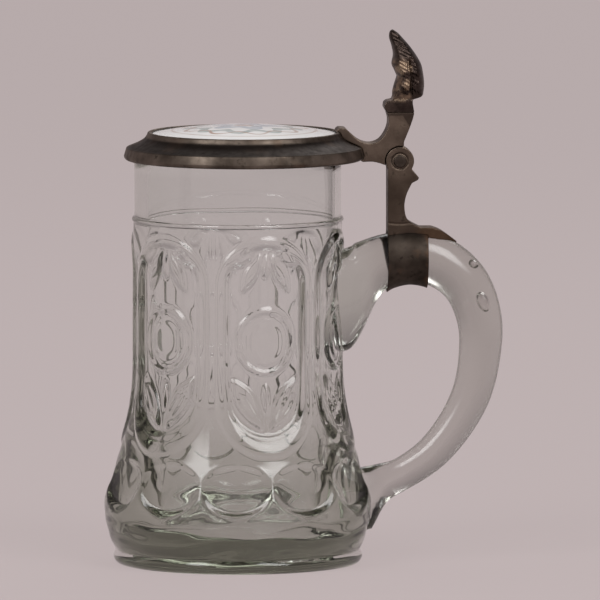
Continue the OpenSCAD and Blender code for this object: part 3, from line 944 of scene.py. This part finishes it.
# The photo's view, in degrees and metres
VIEW_AZIMUTH = -4.0
VIEW_RISE = 5.4
VIEW_DISTANCE = 6.0
VIEW_TARGET = (0.0234, 0, 0.0986)
VIEW_WIDTH = 0.225


def make_camera():
    camera = bpy.data.cameras.new("camera")
    camera.sensor_width = 36
    camera.lens = camera.sensor_width * VIEW_DISTANCE / VIEW_WIDTH
    seat = bpy.data.objects.new("camera", camera)
    scene.collection.objects.link(seat)
    aim(seat, place_around(VIEW_TARGET, VIEW_AZIMUTH, VIEW_RISE, VIEW_DISTANCE), VIEW_TARGET)
    scene.camera = seat


# Name, azimuth and elevation in degrees, distance, width and height in metres, power in watts
SOFTBOXES = [
    ("left_softbox", -45, 36, 1.4, 0.8, 1.3, 10),
    ("right_softbox", 34, 40, 1.4, 0.8, 1.3, 10),
    ("back_softbox", 165, 45, 1.5, 1.2, 1.0, 5)]
# Makes up for the light that a softbox loses towards its soft edges
SOFT_GAIN = 2.0


def softbox(name, azimuth, elevation, distance, width, height, power):
    """A lamp that fades towards its edges, so that its reflections have no hard outline."""
    lamp = bpy.data.lights.new(name, "AREA")
    lamp.shape = "RECTANGLE"
    lamp.size = width
    lamp.size_y = height
    lamp.energy = power
    lamp.use_nodes = True
    nodes, links = lamp.node_tree.nodes, lamp.node_tree.links
    across = nodes.new("ShaderNodeVectorMath")
    across.operation = "DISTANCE"
    across.inputs[1].default_value = (0.5, 0.5, 0)
    links.new(nodes.new("ShaderNodeNewGeometry").outputs["Parametric"], across.inputs[0])
    fade = maths(nodes, links, "SUBTRACT", 1, rise(nodes, links, across.outputs["Value"], 0.25, 0.55))
    links.new(maths(nodes, links, "MULTIPLY", fade, SOFT_GAIN), nodes["Emission"].inputs["Strength"])
    stand = bpy.data.objects.new(name, lamp)
    scene.collection.objects.link(stand)
    aim(stand, place_around(VIEW_TARGET, azimuth, elevation, distance), VIEW_TARGET)


def make_stage():
    scene.view_settings.view_transform = "Standard"
    scene.cycles.max_bounces = 28
    scene.cycles.transmission_bounces = 28
    scene.cycles.glossy_bounces = 12
    make_world()
    make_floor()
    make_camera()
    for box in SOFTBOXES:
        softbox(*box)


def make_object():
    glass = combine(glass_vessel(), glass_rod(), "UNION")
    for x, z, degrees, across, length, depth in BUBBLES:
        combine(glass, bubble(x, z, math.radians(degrees), across, length, depth), "DIFFERENCE")
    smooth_by_angle(glass, 50)
    dress(glass, "stein", "body_glass", glass_material(), "glass_body", "glass_handle")
    dark_pewter = pewter_material(
        "dark_pewter", (0.031, 0.024, 0.019), (0.083, 0.066, 0.054), 0.54, strap_finish)
    hinge_pewter = pewter_material(
        "hinge_pewter", (0.08, 0.059, 0.045), (0.155, 0.118, 0.092), 0.45, hinge_tones_and_shade)
    lid_pewter = pewter_material(
        "lid_pewter", (0.063, 0.05, 0.04), (0.168, 0.137, 0.112), 0.46, lid_patina_stains_and_shade)
    lift_patina_and_highlights = pewter_material(
        "lift_patina_and_highlights", (0.024, 0.017, 0.015), (0.075, 0.055, 0.046), 0.36, lift_painted_highlights)
    dress(strap(), "stein", "strap_pewter", dark_pewter, "handle_strap")
    dress(post(), "stein", "hinge_pewter", hinge_pewter, "hinge_post")
    dress(pin(), "stein", "pin_metal", dark_pewter, "hinge_pin")
    dress(cast("arm_metal", "lid_arm", 0.26, 4), "lid", "hinge_pewter", hinge_pewter, "lid_arm")
    dress(thumblift(), "lid", "lift_pewter", lift_patina_and_highlights, "thumblift")
    dress(lid_ring(), "lid", "lid_pewter", lid_pewter, "lid_ring")
    dress(porcelain(), "lid", "porcelain", porcelain_material(), "porcelain_inlay")


make_object()
make_stage()

bpy.context.view_layer.update()
